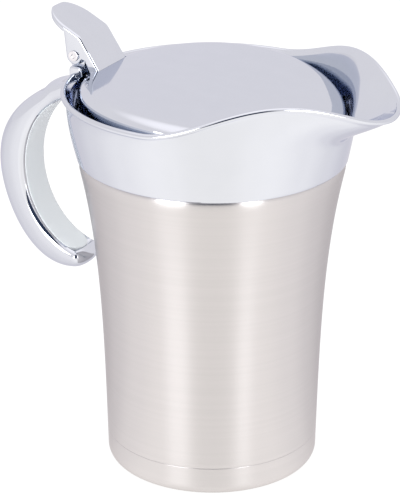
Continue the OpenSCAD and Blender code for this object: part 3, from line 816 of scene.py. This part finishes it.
def leverOutline():
    thick, knuckleR = lever["thick"], hinge["knuckleR"]
    backX = pinX - lever["cheekBack"]
    tipMiddle = thumbTip + along(thumbAngle + 90, thick / 2) - along(thumbAngle, thick / 4)
    tip = arc(*tipMiddle, thick / 2, thumbAngle - 90, thumbAngle + 90, steps=10)
    top = [tuple(foot)] + bendArc(lever["bendR"])
    bendEnd, under = Vector(top[-1]), Vector(bendArc(lever["bendR"] - thick)[-1])
    top += [tuple(bendEnd.lerp(Vector(tip[0]), k)) for k in spread(*lever["topRows"], steps=14)]
    below = [Vector(tip[-1]).lerp(under, k) for k in spread(*lever["underRows"], steps=14)]
    plate = top + tip + [tuple(p) for p in below if p.x < backX - lever["underGap"]]
    slopeDown = (backX - thumbTip.x) * math.tan(math.radians(lever["slope"]))
    cheekTop = (backX, tip[-1][1] - slopeDown)
    notch = (pinX + lever["notch"][0], pinZ + lever["notch"][1])
    boss = arc(pinX, pinZ, knuckleR, *lever["bossArc"], steps=24)
    return plate + [cheekTop] + boss + [notch, (footBack, footFloor), (footFront, footFloor)]


def pocketOutline():  # what is open between the two cheeks
    thick, spare = lever["thick"], lever["pocketSpare"]
    leg = foot + along(legAngle, thick) + along(legAngle + 90, thick + spare)
    inner = bendArc(lever["bendR"] - thick - spare)
    end = Vector(inner[-1]) + along(thumbAngle, lever["thumb"])
    low = footFloor - lever["pocketDeep"]
    return [tuple(leg)] + inner + [tuple(end), (end.x, low), (footBack, low), (footBack, leg.y)]


def thumbLever():
    half = hinge["leverW"] / 2
    piece = meshObject("thumbLever", *softPrism(leverOutline(), half, lever["edge"], plateWidth))
    pocket = softPrism(pocketOutline(), half - hinge["cheekT"], lever["pocketEdge"])
    combine(piece, meshObject("pocket", *pocket), "DIFFERENCE")
    drill(piece, hinge["pinR"] + lever["pinFit"])
    dress(piece, chromeFinish, "lid", "bright_chrome", "thumb_lever")


pin = {
    "headR": 2.2, "headT": 0.8, "edge": 0.3, "soft": 0.1, "fit": 0.01,
    "dimpleR": 0.7, "dimple": 0.3, "dimpleFlare": 0.2,
}


def hingePin():
    face, end = -hinge["leverW"] / 2, hinge["leverW"] / 2 + pin["headT"] / 2
    outer, soft = face - pin["headT"], pin["soft"]
    deep, dimpleOut = outer + pin["dimple"], pin["dimpleR"] + pin["dimpleFlare"]
    corners = [(0, deep, 0), (pin["dimpleR"], deep, soft), (dimpleOut, outer, soft),
               (pin["headR"], outer, pin["edge"]), (pin["headR"], face, 0),
               (hinge["pinR"], face, 0), (hinge["pinR"], end, soft), (0, end, 0)]
    piece = meshObject("hingePin", *alongPin(lathe(softened(corners), segments=64)))
    dress(piece, pinFinish, "lid", "pin_steel", "hinge_pin")


def pinCap():
    face = hinge["leverW"] / 2
    outer, inner = face + pin["headT"], face + pin["headT"] / 2 + pin["fit"]
    seat = hinge["pinR"] + pin["fit"]
    corners = [(0, outer, 0), (pin["headR"], outer, pin["edge"]), (pin["headR"], face, 0),
               (seat, face, 0), (seat, inner, 0), (0, inner, 0)]
    piece = meshObject("pinCap", *alongPin(lathe(softened(corners), segments=64)))
    dress(piece, pinFinish, "lid", "pin_steel", "pin_cap")


thumbLever()
hingePin()
pinCap()
screws = frame["nodes"]["lever_screws"].data  # hidden in the lid, so the CAD shape stays
screws.materials.clear()
screws.materials.append(pinFinish)
print("screws finished")


# stage: floor, studio light and camera

studio = {
    "floorR": 4.0, "floorSides": 96, "floorColour": (0.9, 0.9, 0.9),
    "shadowShare": 0.16, "floorGlow": 1.06,
    "paintedFloorGlow": ((0, 0.78), (0.12, 0.84), (0.37, 0.98), (0.63, 1.12),
                 (0.86, 1.22), (0.94, 1.2), (1, 1.14)),  # painted floor glow seen only in the metal, from back to front
    "paintedGlowFront": (1.06, 1.015, 0.975), "paintedGlowBack": (1.045, 1.0, 1.03),
    "sky": (0.976, 0.934, 0.943), "overhead": (1.36, 1.3, 1.31), "overheadFrom": (0.66, 1),
    "ambient": (1.35, 1.355, 1.36),
    "flag": (0.03, 0.045, 0.09), "flagTurn": (14, 24), "flagTop": (0.68, 0.8),
    "lampHeight": 17, "lampFar": 0.95, "lampTall": 0.52, "lampGlow": 4.5,
    "lampTarget": (0, 0, 0.08),
}
softboxes = {  # turn from the camera, width
    "softboxLeft": (-34.5, 0.35), "softboxRight": (31.5, 0.22),
}
photo = {
    "azimuth": 28.44, "elevation": 22.52, "far": 1.0, "target": (-4.33, -2.35, 89.7),
    "focal": 2500, "height": 495,  # pixels
    "sensor": 36, "clipEnd": 50,
}


def fromCamera(turn, height, far):  # a place round the object, turned from the camera's side
    a, e = math.radians(photo["azimuth"] + turn), math.radians(height)
    return Vector((math.sin(a) * math.cos(e), -math.cos(a) * math.cos(e), math.sin(e))) * far


def aim(thing, place, target):
    thing.location = place
    thing.rotation_euler = (Vector(target) - Vector(place)).to_track_quat("-Z", "Y").to_euler()
    bpy.context.scene.collection.objects.link(thing)


def facing(tree, coordinate, side, flat=False):  # how far a direction lies towards one side
    place = tree.nodes.new("ShaderNodeTexCoord")
    plain = tree.nodes.new("ShaderNodeVectorMath")
    plain.operation = "NORMALIZE"
    level = tree.nodes.new("ShaderNodeVectorMath")
    level.operation = "MULTIPLY"
    level.inputs[1].default_value = (1, 1, 0) if flat else (1, 1, 1)
    dot = tree.nodes.new("ShaderNodeVectorMath")
    dot.operation = "DOT_PRODUCT"
    dot.inputs[1].default_value = side
    tree.links.new(place.outputs[coordinate], level.inputs[0])
    tree.links.new(level.outputs["Vector"], plain.inputs[0])
    tree.links.new(plain.outputs["Vector"], dot.inputs[0])
    return dot.outputs["Value"]


def ranged(tree, value, start, end, smooth=True):  # 0 before start, 1 after end
    node = tree.nodes.new("ShaderNodeMapRange")
    node.interpolation_type = "SMOOTHSTEP" if smooth else "LINEAR"
    node.inputs["From Min"].default_value = start
    node.inputs["From Max"].default_value = end
    tree.links.new(value, node.inputs["Value"])
    return node.outputs["Result"]


def floorMaterial():
    material, tree, shader = startMaterial("paleFloor", metallic=0.0, roughness=0.9)
    shader.inputs["Base Color"].default_value = (*studio["floorColour"], 1)
    shader.inputs["Specular IOR Level"].default_value = 0.0
    path = tree.nodes.new("ShaderNodeLightPath")
    white = tree.nodes.new("ShaderNodeEmission")
    white.inputs["Strength"].default_value = studio["floorGlow"]
    share = tree.nodes.new("ShaderNodeMath")
    share.operation = "MULTIPLY"
    share.inputs[1].default_value = 1 - studio["shadowShare"]
    seen = tree.nodes.new("ShaderNodeMixShader")
    # in the metal, the floor shows a painted glow, brightest in front and falling off behind
    ramp = tree.nodes.new("ShaderNodeValToRGB")
    most = max(level for _, level in studio["paintedFloorGlow"])
    ramp.color_ramp.interpolation = "EASE"
    stops = ramp.color_ramp.elements
    for stop, level in studio["paintedFloorGlow"]:
        ends = {0: stops[0], 1: stops[-1]}
        element = ends[stop] if stop in ends else stops.new(stop)
        tints = zip(studio["paintedGlowBack"], studio["paintedGlowFront"])
        shades = (level / most * (back + (front - back) * stop) for back, front in tints)
        element.color = (*shades, 1)
    # painted light: for reflected rays the floor glows by this ramp instead of being lit by the
    # lamps
    paintedFloorGlow = tree.nodes.new("ShaderNodeEmission")
    paintedFloorGlow.inputs["Strength"].default_value = most
    both = tree.nodes.new("ShaderNodeMixShader")
    toFront = ranged(tree, facing(tree, "Object", fromCamera(0, 0, 1)), -1, 1, smooth=False)
    links = tree.links
    links.new(path.outputs["Is Camera Ray"], share.inputs[0])
    links.new(share.outputs["Value"], seen.inputs["Fac"])
    links.new(shader.outputs["BSDF"], seen.inputs[1])
    links.new(white.outputs["Emission"], seen.inputs[2])
    links.new(toFront, ramp.inputs["Fac"])
    links.new(ramp.outputs["Color"], paintedFloorGlow.inputs["Color"])
    links.new(path.outputs["Is Glossy Ray"], both.inputs["Fac"])
    links.new(seen.outputs["Shader"], both.inputs[1])
    links.new(paintedFloorGlow.outputs["Emission"], both.inputs[2])
    links.new(both.outputs["Shader"], tree.nodes["Material Output"].inputs["Surface"])
    return material


def paleFloor():
    sides = studio["floorSides"]
    edge = arc(0, 0, studio["floorR"] / mm, 0, 360, sides)[:-1]
    points = [(0, 0, 0)] + [(x, y, 0) for x, y in edge]
    faces = [(0, i, i % sides + 1) for i in range(1, sides + 1)]
    floor = meshObject("paleFloor", points, faces)
    floor.data.materials.append(floorMaterial())


def skyLight():
    world = bpy.data.worlds.new("studioSky")
    bpy.context.scene.world = world
    world.use_nodes = True
    tree = world.node_tree
    back = tree.nodes["Background"]
    # a dark flag over the camera gives the metal its dark lines
    wide, narrow = (math.cos(math.radians(a)) for a in reversed(studio["flagTurn"]))
    across = ranged(tree, facing(tree, "Generated", fromCamera(0, 0, 1), flat=True), wide, narrow)
    top, low = studio["flagTop"][::-1]
    below = ranged(tree, facing(tree, "Generated", (0, 0, 1)), top, low)
    both = tree.nodes.new("ShaderNodeMath")
    both.operation = "MULTIPLY"
    flagged = tree.nodes.new("ShaderNodeMixRGB")
    flagged.inputs["Color2"].default_value = (*studio["flag"], 1)
    # the sky is brighter overhead
    above = ranged(tree, facing(tree, "Generated", (0, 0, 1)), *studio["overheadFrom"])
    lit = tree.nodes.new("ShaderNodeMixRGB")
    lit.inputs["Color1"].default_value = (*studio["sky"], 1)
    lit.inputs["Color2"].default_value = (*studio["overhead"], 1)
    path = tree.nodes.new("ShaderNodeLightPath")
    glossy = tree.nodes.new("ShaderNodeMixRGB")
    glossy.inputs["Color1"].default_value = (*studio["ambient"], 1)
    seen = tree.nodes.new("ShaderNodeMixRGB")
    seen.inputs["Color2"].default_value = (1, 1, 1, 1)
    links = tree.links
    links.new(above, lit.inputs["Fac"])
    links.new(lit.outputs["Color"], flagged.inputs["Color1"])
    links.new(across, both.inputs[0])
    links.new(below, both.inputs[1])
    links.new(both.outputs["Value"], flagged.inputs["Fac"])
    links.new(path.outputs["Is Glossy Ray"], glossy.inputs["Fac"])
    links.new(flagged.outputs["Color"], glossy.inputs["Color2"])
    links.new(path.outputs["Is Camera Ray"], seen.inputs["Fac"])
    links.new(glossy.outputs["Color"], seen.inputs["Color1"])
    links.new(seen.outputs["Color"], back.inputs["Color"])


def softbox(name, turn, wide):
    lamp = bpy.data.lights.new(name, "AREA")
    lamp.shape = "RECTANGLE"
    lamp.size = wide
    lamp.size_y = studio["lampTall"]
    lamp.energy = studio["lampGlow"] * math.pi * wide * studio["lampTall"]
    lampObject = bpy.data.objects.new(name, lamp)
    place = fromCamera(turn, studio["lampHeight"], studio["lampFar"])
    aim(lampObject, place, studio["lampTarget"])


def photoCamera():
    lens = bpy.data.cameras.new("photoCamera")
    lens.sensor_width = photo["sensor"]
    lens.lens = lens.sensor_width * photo["focal"] / photo["height"]
    lens.clip_end = photo["clipEnd"]
    camera = bpy.data.objects.new("photoCamera", lens)
    target = Vector(photo["target"]) * mm
    aim(camera, target + fromCamera(0, photo["elevation"], photo["far"]), target)
    bpy.context.scene.camera = camera


paleFloor()
skyLight()
for name, (turn, wide) in softboxes.items():
    softbox(name, turn, wide)
photoCamera()
bpy.context.scene.view_settings.view_transform = "Standard"
bpy.context.scene.cycles.glossy_bounces = 12  # for the narrow gap round the lid
print("stage ready")
